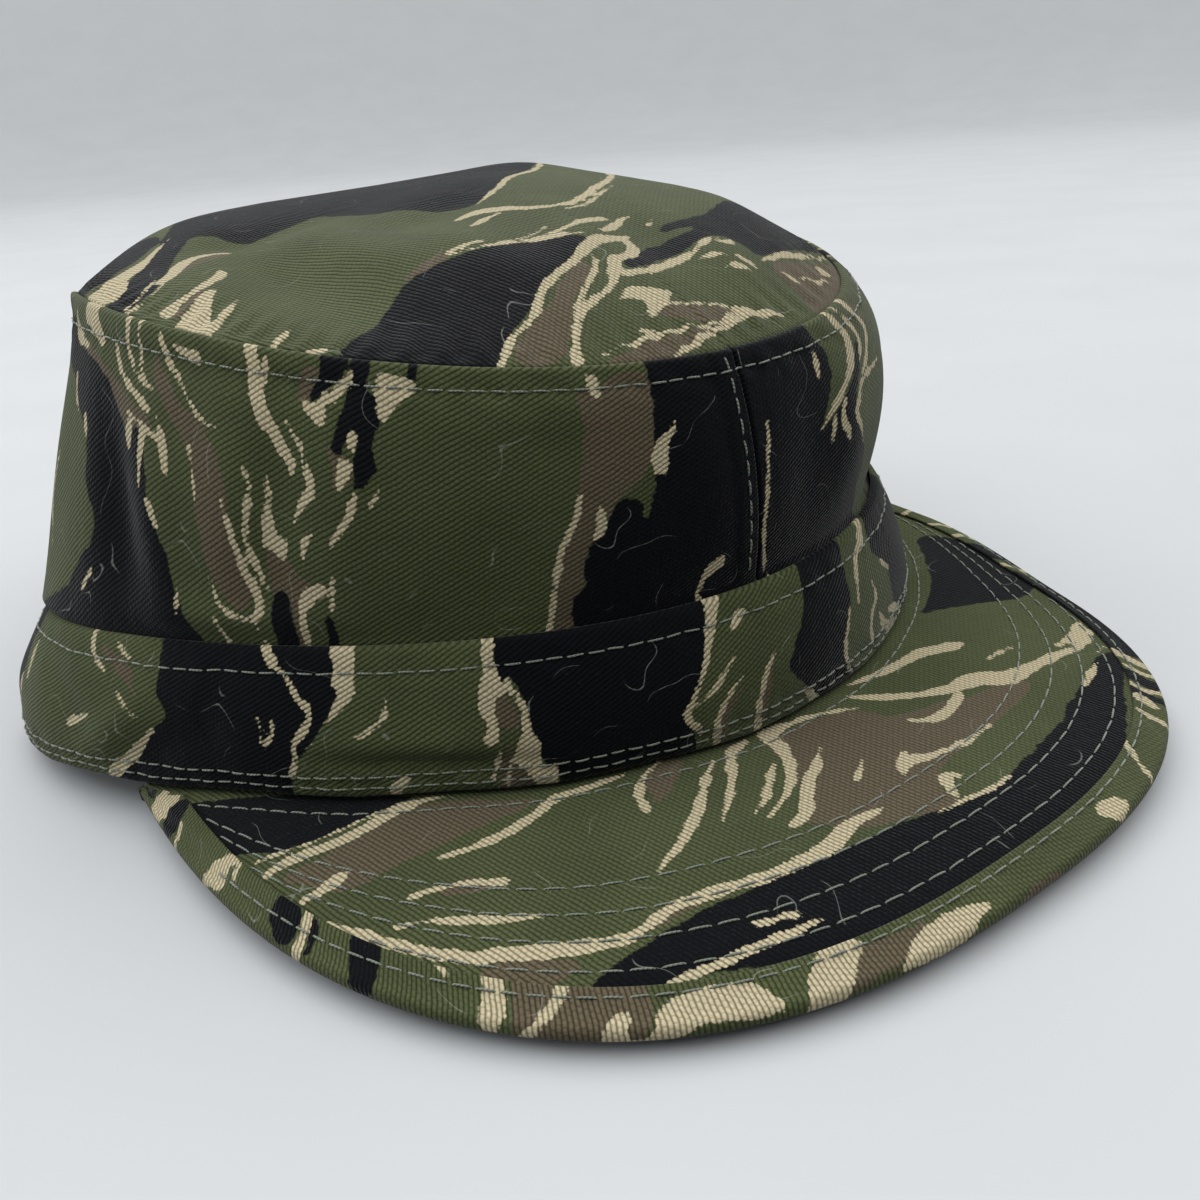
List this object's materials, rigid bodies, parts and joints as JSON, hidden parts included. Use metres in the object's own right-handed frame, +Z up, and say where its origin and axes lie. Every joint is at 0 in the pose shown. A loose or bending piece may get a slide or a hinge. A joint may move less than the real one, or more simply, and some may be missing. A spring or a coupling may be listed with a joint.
{
  "type": "field cap",
  "caption": "Soft twill field cap with an oval domed crown, a folded band, and a short board-stiffened visor with a bound edge.",
  "frame": {"origin": "middle of the footprint, on the plane the cap stands on", "axes": "+Z up through the crown, visor towards -Y, the wearer's right side towards -X"},
  "size_m": [0.1974, 0.2428, 0.092],
  "materials": {
    "camo_twill_top": "printed cotton twill, matte",
    "camo_twill_crown_right": "printed cotton twill, matte",
    "camo_twill_crown_left": "printed cotton twill, matte",
    "camo_twill_band": "printed cotton twill, matte",
    "camo_twill_visor": "printed cotton twill, matte",
    "camo_twill_visor_under": "printed cotton twill, matte",
    "camo_twill_binding": "printed cotton twill cut on the bias, matte",
    "lining_twill": "plain olive cotton twill, matte",
    "cotton_tape": "woven cotton tape, matte",
    "woven_label": "blank woven label, matte",
    "sewing_thread": "spun sewing thread, soft sheen",
    "visor_board": "flexible board, hidden"
  },
  "bodies": {
    "root": {"crown_top": "camo_twill_top", "crown_side_right": "camo_twill_crown_right", "crown_side_left": "camo_twill_crown_left", "crown_seam_tape": "cotton_tape", "front_seam_tape": "cotton_tape", "rear_seam_tape": "cotton_tape", "band": "camo_twill_band", "sweatband": "lining_twill", "size_label": "woven_label", "visor_top_cover": "camo_twill_visor", "visor_board": "visor_board", "visor_bottom_cover": "camo_twill_visor_under", "visor_binding": "camo_twill_binding", "crown_seam_thread": "sewing_thread", "band_top_thread": "sewing_thread", "hem_thread_upper": "sewing_thread", "hem_thread_lower": "sewing_thread", "sweatband_thread": "sewing_thread", "front_seam_thread": "sewing_thread", "rear_seam_thread": "sewing_thread", "brow_thread": "sewing_thread", "visor_thread_1": "sewing_thread", "visor_thread_2": "sewing_thread", "visor_thread_3": "sewing_thread", "visor_thread_4": "sewing_thread", "binding_thread": "sewing_thread"}
  },
  "joints": []
}
